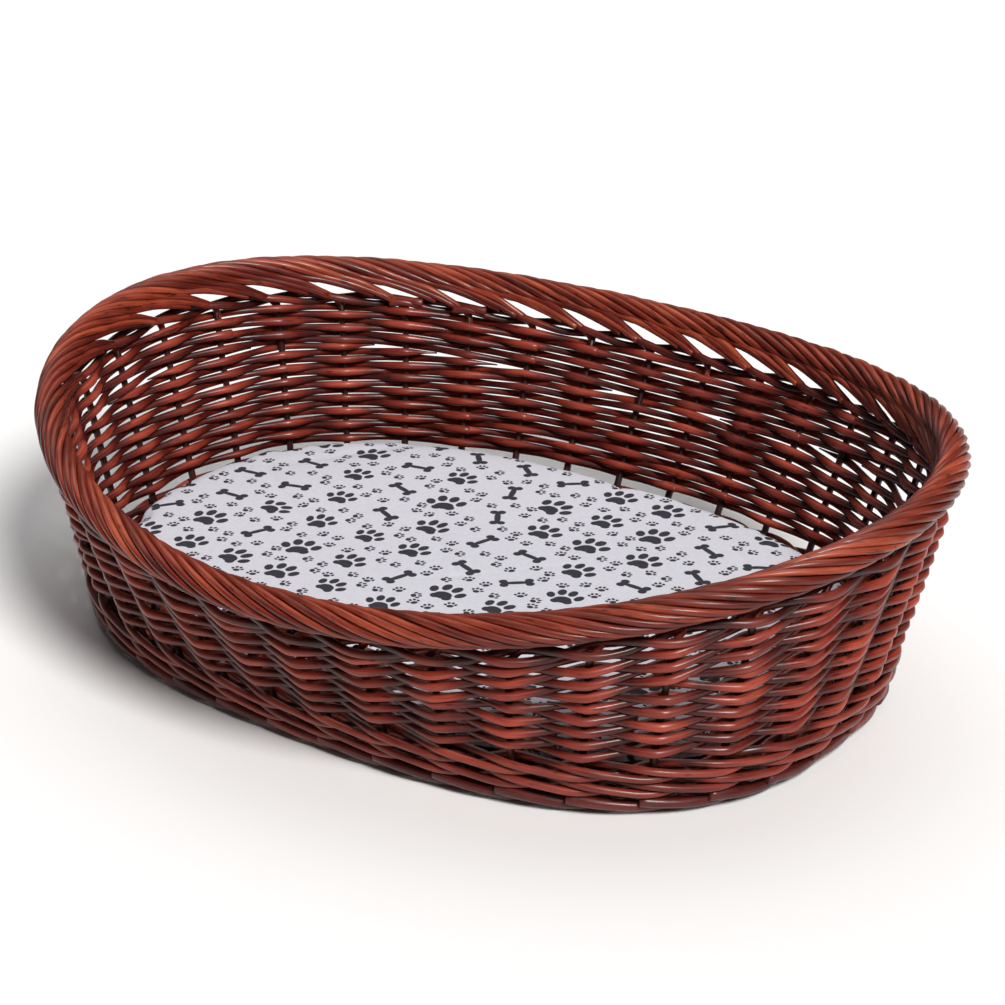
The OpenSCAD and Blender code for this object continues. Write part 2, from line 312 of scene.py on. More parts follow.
def willow(name, dark, middle, light, coat=0.2, rough=0.34):
    """Stained and varnished willow.

    Each rod has its own shade, streaks along its grain, scars, crests lighter for wear and partly as a painted
    highlight, and painted shade where rods cross.
    """
    n = Nodes(name)
    grain = n.attribute("grain", "Vector")
    streak = n.noise(n.vector("MULTIPLY", grain, (28.0, 900.0, 900.0)), 1.0, 3.0, 0.6)
    patch = n.noise(n.vector("MULTIPLY", grain, (24.0, 120.0, 120.0)), 1.0, 2.0)
    scar = n.noise(n.vector("MULTIPLY", grain, (75.0, 260.0, 260.0)), 1.0, 1.0)
    tone = n.attribute("tone")
    shade = n.math("MULTIPLY_ADD", patch, 0.75, -0.52)
    shade = n.math("MULTIPLY_ADD", streak, 0.85, shade)
    shade = n.math("MULTIPLY_ADD", tone, 0.46, shade)
    color = n.ramp(shade, [(0.08, dark), (0.5, middle), (0.95, light)])
    scarred = n.add("MapRange", [scar, 0.66, 0.72, 0.0, 0.75]).outputs[0]
    color = n.mix(scarred, color, tuple(c * 0.35 for c in dark))
    light_and_wear = n.attribute("wear_and_painted_light")
    # painted shade: darker where the rods cross
    color = n.mix(n.math("MULTIPLY", light_and_wear, -1.0, clamp=True), color, tuple(c * 0.75 for c in dark))
    # lighter crests: wear, and partly a painted highlight
    rubbed = n.add("MapRange", [patch, 0.35, 0.7, 0.15, 0.55]).outputs[0]
    wear_and_painted_light = n.math("MULTIPLY", light_and_wear, rubbed, clamp=True)
    color = n.mix(wear_and_painted_light, color, tuple(min(1.0, c * 1.35 + 0.02) for c in light))
    dull = n.noise(n.vector("MULTIPLY", grain, (60.0, 500.0, 500.0)), 1.0, 2.0)
    roughness = n.add("MapRange", [dull, 0.3, 0.7, rough - 0.06, rough + 0.22]).outputs[0]
    height = n.math("MULTIPLY_ADD", scar, -0.5, n.math("MULTIPLY", patch, 0.8))
    height = n.math("MULTIPLY_ADD", streak, 0.6, height)
    return n.finish(Base_Color=color, Roughness=roughness, Normal=n.bump(height, 0.5, 0.0006),
                    Specular_IOR_Level=0.32, Coat_Weight=coat, Coat_Roughness=0.16)


# slot: dark, middle and light stain, then coat and roughness where they differ
STAINS = {
    "willow_siding": ((0.034, 0.0020, 0.0012), (0.150, 0.0120, 0.0050), (0.36, 0.052, 0.025)),
    "willow_waling": ((0.024, 0.0017, 0.0011), (0.100, 0.0080, 0.0042), (0.26, 0.036, 0.018)),
    "willow_border_rods": ((0.026, 0.0018, 0.0008), (0.145, 0.0112, 0.0034), (0.40, 0.072, 0.028)),
    # the stakes' stain is far darker than the other rods': painted shade for the gaps between the weavers
    "willow_stakes": ((0.010, 0.002, 0.0012), (0.024, 0.004, 0.0025), (0.055, 0.010, 0.006)),
    "willow_foot_rods": ((0.022, 0.0016, 0.0013), (0.075, 0.0062, 0.0042), (0.20, 0.029, 0.018)),
    "willow_base_sticks": ((0.03, 0.006, 0.0035), (0.09, 0.02, 0.010), (0.18, 0.05, 0.025), 0.05, 0.5),
    "willow_base_weavers": ((0.045, 0.008, 0.0045), (0.13, 0.028, 0.013), (0.24, 0.07, 0.032), 0.05, 0.5),
}
MATERIALS = {slot: willow(slot, *stain) for slot, stain in STAINS.items()}


def shape(n, p, centre, size, turn=0.0):
    """About how far, in millimetres, points are outside an ellipse on the cloth; negative inside."""
    v = n.vector("SUBTRACT", p, (*centre, 0))
    if turn:
        v = n.turned(v, math.radians(turn))
    reach = n.vector("LENGTH", n.vector("DIVIDE", v, (*size, 1)))
    return n.math("MULTIPLY", n.math("SUBTRACT", reach, 1), min(size))


def union(n, shapes):
    """Shapes run together with soft corners between them."""
    out = shapes[0]
    for other in shapes[1:]:
        out = n.math("SMOOTH_MIN", out, other, 0.5)
    return out


def split(n, v):
    out = n.add("SeparateXYZ", [v]).outputs
    return out[0], out[1]


def join(n, x, y, z=0.0):
    return n.add("CombineXYZ", [x, y, z]).outputs[0]


CELL_X, CELL_Y = 50.0, 47.0      # millimetres of cloth to one motif
INK = (0.011, 0.010, 0.018)


def printed_cotton(name):
    """Plain woven cotton with a generic print: paws or bones, each with four small paws round it."""
    n = Nodes(name)
    cloth = n.vector("MULTIPLY", n.attribute("cloth", "Vector"), (1000.0, 1000.0, 0.0))
    x, y = split(n, cloth)
    row = n.math("FLOOR", n.math("DIVIDE", y, CELL_Y))
    x = n.math("MULTIPLY_ADD", row, CELL_X * 0.37, x)
    column = n.math("FLOOR", n.math("DIVIDE", x, CELL_X))
    middle_x = n.math("MULTIPLY", n.math("ADD", column, 0.5), CELL_X)
    middle_y = n.math("MULTIPLY", n.math("ADD", row, 0.5), CELL_Y)
    local = join(n, n.math("SUBTRACT", x, middle_x), n.math("SUBTRACT", y, middle_y))
    cell = join(n, column, row, 3.0)
    dice = n.add("TexWhiteNoise", [cell], noise_dimensions="3D")
    kind, draw = dice.outputs["Value"], n.add("SeparateColor", [dice.outputs["Color"]]).outputs
    moved = n.vector("SUBTRACT", local, join(n, n.math("MULTIPLY_ADD", draw[0], 6.0, -3.0),
                                             n.math("MULTIPLY_ADD", draw[1], 5.0, -2.5)))
    is_bone = n.math("GREATER_THAN", kind, 0.52)
    swing = n.math("MULTIPLY_ADD", is_bone, 1.9, 0.75)
    angle = n.math("MULTIPLY", n.math("SUBTRACT", draw[2], 0.5), swing)
    turned = n.turned(moved, angle)
    # the paw
    growth = n.math("MULTIPLY_ADD", draw[1], 0.24, 0.98)
    px, py = split(n, n.vector("MULTIPLY", turned, join(n, growth, growth, 1.0)))
    half = join(n, n.math("ABSOLUTE", px), py)
    paw = union(n, [shape(n, half, (0, -5.0), (8.2, 6.4)), shape(n, half, (5.6, -8.4), (4.4, 4.2)),
                    shape(n, half, (13.2, 1.6), (3.9, 5.6), 24), shape(n, half, (5.1, 9.2), (4.1, 6.0), 8)])
    # the bone
    bx, by = split(n, turned)
    quarter = join(n, n.math("ABSOLUTE", bx), n.math("ABSOLUTE", by))
    bone = union(n, [shape(n, quarter, (10.6, 3.2), (3.7, 3.6)), shape(n, quarter, (0, 0), (13.0, 2.7))])
    paw = n.math("MULTIPLY", paw, n.math("SUBTRACT", 1.0, is_bone))
    motif = n.math("ADD", paw, n.math("MULTIPLY", bone, is_bone))
    # small paws in the four corners of the cell
    lx, ly = split(n, local)
    sx, sy = n.math("SIGN", lx), n.math("SIGN", ly)
    corner = join(n, n.math("MULTIPLY_ADD", sx, 0.31, column), n.math("MULTIPLY_ADD", sy, 0.27, row), 9.0)
    own = n.add("TexWhiteNoise", [corner], noise_dimensions="3D").outputs["Color"]
    own = n.add("SeparateColor", [own]).outputs
    cx = n.math("MULTIPLY", sx, n.math("MULTIPLY_ADD", own[0], 4.5, 14.5))
    cy = n.math("MULTIPLY", sy, n.math("MULTIPLY_ADD", own[1], 3.0, 16.0))
    small = n.vector("SUBTRACT", local, join(n, cx, cy))
    angle = n.math("MULTIPLY_ADD", own[2], 2.4, -1.2)
    small = n.turned(small, angle)
    qx, qy = split(n, small)
    half = join(n, n.math("ABSOLUTE", qx), qy)
    tiny = union(n, [shape(n, half, (0, -1.8), (2.9, 2.3)), shape(n, half, (4.2, 0.7), (1.25, 1.7), 20),
                     shape(n, half, (1.7, 3.3), (1.3, 1.8))])
    edge = n.math("MINIMUM", motif, tiny)
    ragged = n.math("MULTIPLY_ADD", n.noise(cloth, 0.9, 2.0), 0.7, -0.35)
    ink = n.add("MapRange", [n.math("ADD", edge, ragged), -0.22, 0.22, 1.0, 0.0]).outputs[0]
    # two crossed sets of threads, about two to the millimetre
    warp = n.math("SINE", n.math("MULTIPLY", n.math("ADD", x, n.noise(cloth, 0.06, 2.0)), 13.0))
    weft = n.math("SINE", n.math("MULTIPLY", n.math("ADD", y, n.noise(cloth, 0.05, 2.0)), 13.0))
    slub = n.noise(n.vector("MULTIPLY", cloth, (0.12, 2.2, 1.0)), 1.0, 3.0)
    slub2 = n.noise(n.vector("MULTIPLY", cloth, (2.2, 0.12, 1.0)), 1.0, 3.0)
    threads = n.math("MULTIPLY", n.math("MULTIPLY", warp, weft), 0.5)
    texture = n.math("ADD", threads, n.math("ADD", slub, slub2))
    uneven = n.math("MULTIPLY", n.math("ADD", slub, slub2), 0.5)
    plain = n.ramp(uneven, [(0.3, (0.50, 0.495, 0.545)), (0.7, (0.66, 0.655, 0.72))])
    faded = n.add("MapRange", [texture, 0.2, 1.8, 1.0, 0.9]).outputs[0]
    color = n.mix(n.math("MULTIPLY", ink, faded), plain, INK)
    rough = n.math("MULTIPLY_ADD", slub, 0.2, 0.72)
    return n.finish(Base_Color=color, Roughness=rough, Normal=n.bump(texture, 0.25, 0.0003),
                    Specular_IOR_Level=0.05)


def wadding(name):
    """Loose white fibres."""
    n = Nodes(name)
    place = n.add("TexCoord").outputs["Object"]
    fibre = n.noise(n.vector("MULTIPLY", place, (900.0, 260.0, 700.0)), 1.0, 4.0, 0.7)
    clump = n.noise(place, 45.0, 3.0)
    color = n.ramp(clump, [(0.3, (0.70, 0.69, 0.65)), (0.7, (0.88, 0.87, 0.83))])
    return n.finish(Base_Color=color, Roughness=n.math("MULTIPLY_ADD", fibre, 0.2, 0.78), Sheen_Weight=0.4,
                    Normal=n.bump(n.math("ADD", fibre, clump), 0.8, 0.003))


MATERIALS["cotton_print"] = printed_cotton("cotton_print")
MATERIALS["wadding"] = wadding("wadding")

# ---------------------------------------------------------------- siding
SPAN = np.array([0, 0.03, 0.07, 0.13, 0.22, 0.34, 0.45, 0.55, 0.66, 0.78, 0.87, 0.93, 0.97])
KINK = 0.985                     # how near a weaver comes to a sharp bend beside a stake


def spare(q):
    """The height at stakes q that the full rows leave to the short rows."""
    return rim(q)[..., 2] - SIDING_DROP - SIDING_Z - (FULL_ROWS - 1) * PITCH


def shorts_at(i):
    """How many short rows cross stake i."""
    return min(SHORT_ROWS, math.floor(spare(i % STAKES) / PITCH + 0.35))


def full_row_z(k, q):
    if k <= LOW_ROWS:
        return SIDING_Z + (k - 1) * PITCH + 0 * np.asarray(q, float)
    return rim(q)[..., 2] - SIDING_DROP - (FULL_ROWS - k) * PITCH


def short_row_z(j, i):
    return full_row_z(LOW_ROWS, i) + j * (spare(i) + PITCH) / (shorts_at(i) + 1)


def float_wear_and_painted_light(off):
    """Painted shade where rods cross, below zero, and lighter floats on either side of a stake, above zero,
    for wear and partly a painted highlight.
    """
    return 0.6 * smooth((np.abs(off) - 0.003) / 0.004) - 0.85 * (1 - smooth(np.abs(off) / 0.0048))


SAG = [(w, rng.uniform(0, 6.28)) for w in (0.55, 0.92, 1.7)]


def weave(bundle, q0, q1, phase, height, thick, thin, lead=0.0, tips=0.0):
    """One weaver from q0 to q1, in front of one stake and behind the next.

    lead keeps its butt inside the last tip, and tips thins both of its ends.
    """
    grid = (np.arange(math.floor(q0), math.ceil(q1) + 1)[:, None] + SPAN[None]).ravel()
    q = np.concatenate([[q0], grid[(grid > q0 + 0.02) & (grid < q1 - 0.02)], [q1]])
    f = (q - q0) / (q1 - q0)
    swing = np.cos(math.pi * (q + phase))
    r = (thick + (thin - thick) * f ** 1.3 + wander(q, 0.0001)) * (0.83 + 0.17 * swing ** 2)
    r *= 1 - tips * (1 - smooth(np.minimum(q - q0, q1 - q) / 0.6))
    kink = np.arcsin(KINK * swing) / math.asin(KINK)
    off = (0.35 * swing + 0.65 * kink) * (STAKE_R + r + 0.0001) - lead * (1 - smooth((q - q0) / 0.75))
    z = height(q)
    sag = sum(np.sin(w * q + p + 30 * z) for w, p in SAG) * 0.00035
    bundle.rod(wall(q, z + sag + wander(q, 0.00035), off), r, square_out(q, z), wear_and_painted_light=float_wear_and_painted_light(off))


def full_row(k):
    """A row all round, pieced from weavers 10 to 14 stakes long, and the last one up to 20."""
    bundle = Bundle()
    first = int(rng.integers(0, STAKES // 2)) * 2 + (k + 1) % 2
    q, end = first, first + STAKES
    while q < end:
        stretch = int(rng.integers(5, 8)) * 2
        if end - (q + stretch) < 8:
            stretch = end - q
        weave(bundle, q - 0.15, q + stretch + 0.12, k, lambda v: full_row_z(k, v),
              rng.uniform(0.00365, 0.00385), rng.uniform(0.00335, 0.00355), lead=0.0008)
        q += stretch
    return bundle


def short_row(j):
    """A row over the stakes where it fits, one weaver to each run of stakes."""
    bundle = Bundle()
    for s in range(STAKES):
        if shorts_at(s) >= j and shorts_at(s - 1) < j:
            n = 1
            while shorts_at(s + n) >= j:
                n += 1
            stakes = np.arange(s, s + n)
            heights = np.array([float(short_row_z(j, i % STAKES)) for i in stakes])
            weave(bundle, s - 0.5, s + n - 0.5, j, lambda v: np.interp(v, stakes, heights),
                  rng.uniform(0.0036, 0.0038), rng.uniform(0.0034, 0.0036), tips=0.75)
    return bundle


for k in range(1, FULL_ROWS + 1):
    full_row(k).piece(f"siding_row_{k:02d}", "willow_siding")
for j in range(1, SHORT_ROWS + 1):
    short_row(j).piece(f"short_row_{j:02d}", "willow_siding")

# ---------------------------------------------------------------- waling
WALE_RISE, WALE_OFF, TOP_WALE_OFF = 0.0036, 0.0069, 0.0064
WALE_LEAD = 0.0012               # a rod's butt starts this much inside the last tip
WALE_SPAN = 12                   # stakes to one waling rod
UPSETT_LOWER_Z, UPSETT_UPPER_Z = 0.0256, 0.0392


def wale_rod(bundle, controls, radius, steps=5):
    """A rod through controls of stake, height and offset, whose ends are moved a quarter space out."""
    controls[0] = (controls[0][0] - 0.25, *controls[0][1:])
    controls[-1] = (controls[-2][0] + 0.25, *controls[-2][1:])
    q, z, off = spline(controls, steps).T
    bundle.rod(wall(q, z, off), radius + wander(q, 0.00015), outward(q, z), wear_and_painted_light=float_wear_and_painted_light(off))


def three_rod_wale(z):
    """Three strands, each in front of two stakes and behind the third."""
    bundle = Bundle()
    for c in range(3):
        start = (2 - c) % 3
        for first in range(start, start + STAKES, WALE_SPAN):  # each strand is three rods long
            controls = []
            for i in range(first, first + WALE_SPAN + 1):
                m = (i + c) % 3
                lead = WALE_LEAD if i == first else 0.0
                controls += {0: [(i, z + WALE_RISE, WALE_OFF), (i + 0.5, z, WALE_OFF + 0.001)],
                             1: [(i, z - WALE_RISE, WALE_OFF), (i + 0.5, z - WALE_RISE, 0)],
                             2: [(i, z, -WALE_OFF - lead), (i + 0.5, z + WALE_RISE, 0)]}[m]
            wale_rod(bundle, controls, rng.uniform(0.0030, 0.0033))
    return bundle


def top_wale():
    """Two strands twined round each other between the stakes."""
    bundle = Bundle()
    for c in range(2):
        start = 1 if c == 0 else 0
        for first in range(start, start + STAKES, WALE_SPAN):
            controls = []
            for i in range(first, first + WALE_SPAN + 1):
                z, zm = rim(i)[2] - TOP_WALE_DROP, rim(i + 0.5)[2] - TOP_WALE_DROP
                s = 1 if (i + c) % 2 == 0 else -1
                lead = WALE_LEAD if i == first else 0.0
                controls += [(i, z, s * TOP_WALE_OFF - lead), (i + 0.5, zm - s * WALE_RISE, 0)]
            wale_rod(bundle, controls, rng.uniform(0.0033, 0.0036), 6)
    return bundle


three_rod_wale(UPSETT_LOWER_Z).piece("upsett_wale_lower", "willow_waling")
three_rod_wale(UPSETT_UPPER_Z).piece("upsett_wale_upper", "willow_waling")
top_wale().piece("top_wale", "willow_waling")

# ---------------------------------------------------------------- stakes
STAKE_FROM_Z, STAKE_DROP, STAKE_STEPS = 0.012, 0.026, 14

stakes = Bundle()
for i in range(STAKES):
    z = np.linspace(STAKE_FROM_Z, rim(i)[2] - STAKE_DROP, STAKE_STEPS)
    path = wall(i + wander(z * 40, 0.012), z, wander(z * 30, 0.0003))
    stakes.rod(path, np.linspace(0.0032, 0.0029, STAKE_STEPS), outward(i + 0 * z, z))
stakes.piece("side_stakes", "willow_stakes")

# ---------------------------------------------------------------- rolled border
ROLL, BORDER_R, LAG = 0.0102, 0.00305, 0.6
CORE_TURNS, CORE_ROLL, CORE_R = 10, 0.0036, 0.0031
# How each rod of a stake comes up to the roll: stake spaces on, drop below the rim's middle and offset
# from the wall.
TAILS = [
    [(0, 0.037, 0), (0, 0.030, 0), (0.12, 0.0232, -0.0042), (0.34, 0.0170, -0.0080),
     (0.62, 0.0100, -0.0101)],
    [(0.24, 0.0222, -0.0078), (0.50, 0.0166, -0.0092), (0.93, 0.0098, -0.0102)],
    [(0.52, 0.0192, -0.0072), (0.84, 0.0142, -0.0092), (1.24, 0.0086, -0.0102)],
]


def roll_out(q, degrees):
    """The way out of the roll, 0 being up and 90 out of the basket."""
    turn = math.radians(degrees)
    return outward(q, rim(q)[2]) * math.sin(turn) + UP * math.cos(turn)


def border_rods(c):
    """The rods in place c at every stake, each up the wall and once round the roll."""
    bundle = Bundle()
    for i in range(STAKES):
        rz = rim(i)[2]
        turns = np.linspace(-105, rng.uniform(184, 198), 16)
        shift, loose = rng.uniform(-0.025, 0.025), rng.uniform(-0.0003, 0.0004)
        controls, ups = [], []
        for dq, drop, off in TAILS[c]:
            controls.append(wall(i + dq + shift, rim(i + dq)[2] - drop, off))
            ups.append(-outward(i + dq, rz))
        for a in turns:
            q = i + LAG + c / 3 + (a + 140) / 360 * LAP + shift
            tuck = 0.0030 * smooth((a - 168) / 26)
            controls.append(rim(q) + (ROLL + loose - tuck) * roll_out(q, a))
            ups.append(roll_out(q, a))
        path, up = spline(np.array(controls), 3), spline(np.array(ups), 3)
        f = np.linspace(0, 1, len(path))
        thick = BORDER_R * rng.uniform(0.94, 1.04)
        r = thick * (1 - 0.12 * f ** 2)
        r *= 0.90 + 0.10 * smooth(f / 0.25)
        # the roll is lighter on its upper side: wear, and partly a painted highlight where the light falls on
        # top
        high = smooth((up[:, 2] - 0.3) / 0.6)
        bundle.rod(path, r + wander(f * 20, 0.0001), up, sides=12, wear_and_painted_light=0.35 * high)
    if c == 1:  # the ends of earlier rods fill the middle of the roll
        for core in range(3):
            q = np.linspace(0, STAKES, STAKES * 6, endpoint=False)
            a = q * 2 * math.pi * CORE_TURNS / STAKES + core * 2 * math.pi / 3
            p = rim(q)
            n = outward(q, p[:, 2]) * np.sin(a)[:, None] + UP * np.cos(a)[:, None]
            bundle.rod(p + CORE_ROLL * n, CORE_R, n, closed=True, sides=8, tone=0.1)
    return bundle


for c, node in enumerate(("border_rods_first", "border_rods_second", "border_rods_third")):
    border_rods(c).piece(node, "willow_border_rods")

# ---------------------------------------------------------------- foot border
# each foot rod after its start: stake spaces on, out from the stakes' line, and height
FOOT_ROD = [(0.35, 0.0042, 0.0106), (0.85, 0.0006, 0.0074), (1.25, -0.0052, 0.0052), (1.68, -0.0112, 0.0046)]

foot_rods = Bundle()
for i in range(STAKES):
    thick = rng.uniform(0.0045, 0.0048)
    shift = rng.uniform(-0.04, 0.04)
    e = spline([(-0.15 + shift, 0.0050, 0.0136), *FOOT_ROD], 6)
    q = i + e[:, 0]
    p = foot(q)
    p[:, 2] = np.maximum(e[:, 2], thick)
    f = np.linspace(0, 1, len(e))
    path = p + e[:, 1:2] * outward(q, p[:, 2])
    # lighter towards each rod's start, and plain towards its end, where it tucks under the next rods
    foot_rods.rod(path, thick * (1 - 0.1 * f), UP, sides=14, wear_and_painted_light=0.3 * (1 - f))
foot_rods.piece("foot_border", "willow_foot_rods")

# ---------------------------------------------------------------- base
STICK_Z, STICK_R, LONG_R, CORNER_FROM, BASE_EDGE = 0.0169, 0.0046, 0.0032, 0.5, 0.019


def unit(v):
    return v / np.linalg.norm(v)


def spoke_end(j):
    """The outer end of spoke j, midway between two stakes."""
    p = foot(j - 0.5)
    return np.array([p[0], p[1], STICK_Z])


def spoke_rim(j):
    """Where the outermost base weaver crosses spoke j."""
    e = spoke_end(j)
    if is_cross(j) or is_long(j):
        return e - BASE_EDGE * unit(e - spoke_start(j))
    return e - BASE_EDGE * unit(e * (1, 1, 0) + (0, FOOT_SHIFT, 0))


def is_cross(j):
    return 5 <= abs(j) <= 13


def is_long(j):
    return abs(j) <= 2 or abs(j) >= 16


def spoke_start(j):
    if is_cross(j):
        return np.array([spoke_end(j)[0], math.copysign(0.025, j) - FOOT_SHIFT, STICK_Z])
    k = math.copysign(1, j) * (abs(j) if abs(j) <= 2 else 18 - abs(j))
    side = 1 if abs(j) <= 9 else -1
    return np.array([side * (spoke_end(5)[0] + 0.013), 0.011 * k - FOOT_SHIFT, STICK_Z])


def corner_start(j):
    s, near = math.copysign(1, j), abs(j) <= 9
    f = (1 if abs(j) in (3, 15) else 2) / 3
    long_stick = crossing(s * (2 if near else 16), CORNER_FROM)
    cross_stick = crossing(s * (5 if near else 13), CORNER_FROM)
    return long_stick * (1 - f) + cross_stick * f


def crossing(j, f):
    """The point on spoke j at share f of the way out."""
    if is_cross(j) or is_long(j):
        return spoke_start(j) * (1 - f) + spoke_rim(j) * f
    g = (f - CORNER_FROM) / (1 - CORNER_FROM)
    return corner_start(j) * (1 - g) + spoke_rim(j) * g


long_sticks, cross_sticks, corner_sticks, base_weave = Bundle(), Bundle(), Bundle(), Bundle()
for k in range(-2, 3):
    far = 18 if k == 0 else math.copysign(18 - abs(k), k)
    path = spline([spoke_end(far), spoke_start(far), spoke_start(k), spoke_end(k)], 14)
    long_sticks.rod(path, LONG_R + wander(np.linspace(0, 9, len(path)), 0.0002), UP)
for j in range(5, 14):
    f = np.linspace(0.004, 0.996, 24)[:, None]
    path = spoke_end(-j) * (1 - f) + spoke_end(j) * f
    cross_sticks.rod(path, STICK_R + wander(np.linspace(0, 9, len(path)), 0.0002), UP, sides=14)
for s in (-1, 1):
    for j in (3, 4, 14, 15):
        path = spline([crossing(s * j, CORNER_FROM - 0.01), spoke_rim(s * j), spoke_end(s * j)], 8)
        corner_sticks.rod(path, np.linspace(0.0027, LONG_R, len(path)), UP)
ROUNDS = 27
for k in range(ROUNDS):  # each round is two strands twined round each other
    f = 0.1 + 0.9 * k / (ROUNDS - 1)
    spokes = [j for j in range(-17, 19) if f > CORNER_FROM or is_cross(j) or is_long(j)]
    for strand in range(2):
        controls = []
        for n, j in enumerate(spokes + spokes[:1]):
            p, after = crossing(j, f), crossing(spokes[(n + 1) % len(spokes)], f)
            side = 1 if (n + k + strand) % 2 else -1
            lift = (STICK_R if is_cross(j) else LONG_R) + 0.0020
            controls.append(p + UP * side * lift)
            middle = (p + after) / 2
            radial = unit(np.array([middle[0], middle[1] + FOOT_SHIFT, 0]))
            controls.append(middle + radial * (0.0015 if strand else -0.0015))
        path = spline(controls[:-1], 3)
        up = np.stack([path[:, 0], path[:, 1] + FOOT_SHIFT, 0 * path[:, 0]], -1)
        up /= np.linalg.norm(up, axis=1, keepdims=True)
        base_weave.rod(path, rng.uniform(0.0017, 0.0019), up, sides=8)
long_sticks.piece("base_long_sticks", "willow_base_sticks")
cross_sticks.piece("base_cross_sticks", "willow_base_sticks")
corner_sticks.piece("base_corner_sticks", "willow_base_sticks")
base_weave.piece("base_weave", "willow_base_weavers")

# ---------------------------------------------------------------- cushion
PAD_GAP, PAD_LOW, PAD_HIGH = 0.0118, 0.026, 0.065
SEAM_Z = (PAD_LOW + PAD_HIGH) / 2
COVER_INSET, WADDING_INSET = 0.006, 0.013
PUFF_FRAMES, PUFF_MAX = 20, 0.009
CREASES = 16


def mesh_object(name, points, faces):
    mesh = bpy.data.meshes.new(name)
    mesh.from_pydata([tuple(p) for p in points], [], faces)
    mesh.update()
    obj = bpy.data.objects.new(name, mesh)
    bpy.context.scene.collection.objects.link(obj)
    return obj


def applied(obj):
    """The object's mesh with its modifiers applied, which are then removed."""
    bpy.context.view_layer.update()
    mesh = bpy.data.meshes.new_from_object(obj.evaluated_get(bpy.context.evaluated_depsgraph_get()))
    obj.modifiers.clear()
    obj.data = mesh
    return obj


def points_of(obj):
    co = np.zeros(len(obj.data.vertices) * 3)
    obj.data.vertices.foreach_get("co", co)
    return co.reshape(-1, 3)


def put_points(obj, co):
    obj.data.vertices.foreach_set("co", co.ravel())
    obj.data.update()


def level_ring(q, z, inset):
    """Points at height z, a level inset inside the stakes' lines."""
    return line(q, z + 0 * q) - inset * outward(q, z + 0 * q)


def pad(name, inset, low, high, around=120):
    """A flat pad with rounded edges that follows the wall of the basket."""
    q = np.arange(around) * STAKES / around
    rings = [(0.014, low), (0.004, low + 0.004), (0, low + 0.011),
             (0, high - 0.011), (0.004, high - 0.004), (0.014, high)]
    points = np.vstack([level_ring(q, z, PAD_GAP + inset + back) for back, z in rings])
    faces = []
    for start in range(0, (len(rings) - 1) * around, around):
        for k in range(around):
            after = (k + 1) % around
            faces.append([start + k, start + after, start + around + after, start + around + k])
    faces += [list(range(around - 1, -1, -1)), list(range((len(rings) - 1) * around, len(rings) * around))]
    return mesh_object(name, points, faces)


def outline(z, around=720):
    """The pad's outline at height z: its angles, its reach from the middle and the way out."""
    q = np.arange(around) * STAKES / around
    p, n = level_ring(q, z, PAD_GAP), outward(q, z + 0 * q)
    angle = np.arctan2(p[:, 1] + FOOT_SHIFT, p[:, 0])
    order = np.argsort(angle)
    return angle[order], np.hypot(p[:, 0], p[:, 1] + FOOT_SHIFT)[order], n[order]


OUTLINES = [outline(z) for z in (PAD_LOW, PAD_HIGH)]


def edge_distance(co):
    """How far inside the pad's outline each point is, and the outline's outward direction there."""
    x, y = co[:, 0], co[:, 1] + FOOT_SHIFT
    angle, reach = np.arctan2(y, x), np.hypot(x, y)
    f = np.clip((co[:, 2] - PAD_LOW) / (PAD_HIGH - PAD_LOW), 0, 1)
    at = [[np.interp(angle, a, v, period=2 * math.pi) for v in (r, n[:, 0], n[:, 1])]
          for a, r, n in OUTLINES]
    edge, nx, ny = (low * (1 - f) + high * f for low, high in zip(*at))
    facing = np.stack([nx, ny], -1)
    facing /= np.linalg.norm(facing, axis=1, keepdims=True)
    lean = np.maximum((facing[:, 0] * x + facing[:, 1] * y) / np.maximum(reach, 1e-6), 0.3)
    return (edge - reach) * lean, facing


def puff(obj):
    """Blows the cover up as cloth, and moves no point further than PUFF_MAX."""
    cloth = obj.modifiers.new("cloth", "CLOTH")
    cloth.settings.use_pressure = True
    cloth.settings.uniform_pressure_force = 4.0
    cloth.settings.effector_weights.gravity = 0
    cloth.settings.shrink_min = -0.035
    cloth.settings.bending_stiffness = 0.3
    cloth.settings.quality = 5
    cloth.point_cache.frame_start, cloth.point_cache.frame_end = 1, PUFF_FRAMES
    rest = points_of(obj)
    for f in range(1, PUFF_FRAMES + 1):
        bpy.context.scene.frame_set(f)
    applied(obj)
    bpy.context.scene.frame_set(1)
    move = points_of(obj) - rest
    size = np.linalg.norm(move, axis=1, keepdims=True) + 1e-9
    put_points(obj, rest + move * (PUFF_MAX * np.tanh(size / PUFF_MAX) / size))


def remeshed(obj, voxel):
    """The object with an even mesh of small faces."""
    remesh = obj.modifiers.new("remesh", "REMESH")
    remesh.mode = "VOXEL"
    remesh.voxel_size = voxel
    return applied(obj)


cover = pad("cushion_cover", COVER_INSET, PAD_LOW + COVER_INSET, PAD_HIGH - COVER_INSET)
remeshed(cover, 0.005)
puff(cover)
cover.modifiers.new("finer", "SUBSURF").levels = 1
applied(cover)

co = points_of(cover)
inside, facing = edge_distance(co)
